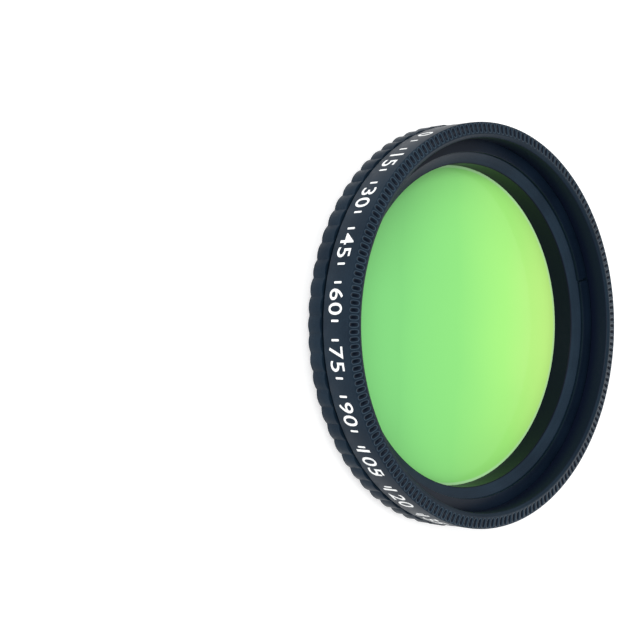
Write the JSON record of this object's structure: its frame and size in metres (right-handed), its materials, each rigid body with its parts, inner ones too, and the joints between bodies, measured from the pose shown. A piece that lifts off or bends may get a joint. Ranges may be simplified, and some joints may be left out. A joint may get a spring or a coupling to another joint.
{
  "type": "circular polarizing filter",
  "caption": "Slim screw-in circular polarising filter: a scalloped mount ring with a rear male thread, and a turning front ring that holds a green-coated laminated polariser.",
  "frame": {"origin": "centre of the male thread's end face, on which the filter lies", "axes": "+Z along the optical axis, from the thread towards the front"},
  "size_m": [0.0402, 0.0402, 0.0074],
  "materials": {
    "mount_ring": "black anodised, fine satin",
    "front_ring": "black anodised, fine satin",
    "split_ring": "black anodised, satin",
    "pressure_ring": "black anodised, matt",
    "spring_steel": "drawn spring wire, greased",
    "coated_glass": "polished, green anti-reflection coating",
    "polariser_film": "neutral grey film",
    "quarter_wave_film": "clear film",
    "rear_glass": "polished, coated"
  },
  "bodies": {
    "mount": {"mount_ring": "mount_ring", "snap_wire": "spring_steel"},
    "rotor": {"front_ring": "front_ring", "split_ring": "split_ring", "pressure_ring": "pressure_ring", "front_glass": "coated_glass", "polariser_film": "polariser_film", "quarter_wave_film": "quarter_wave_film", "rear_glass": "rear_glass"}
  },
  "joints": [
    {"name": "front_ring_turn", "type": "hinge", "parent": "mount", "child": "rotor", "pos_m": [0, 0, 0.0035], "axis": [0, 0, 1], "continuous": true}
  ]
}
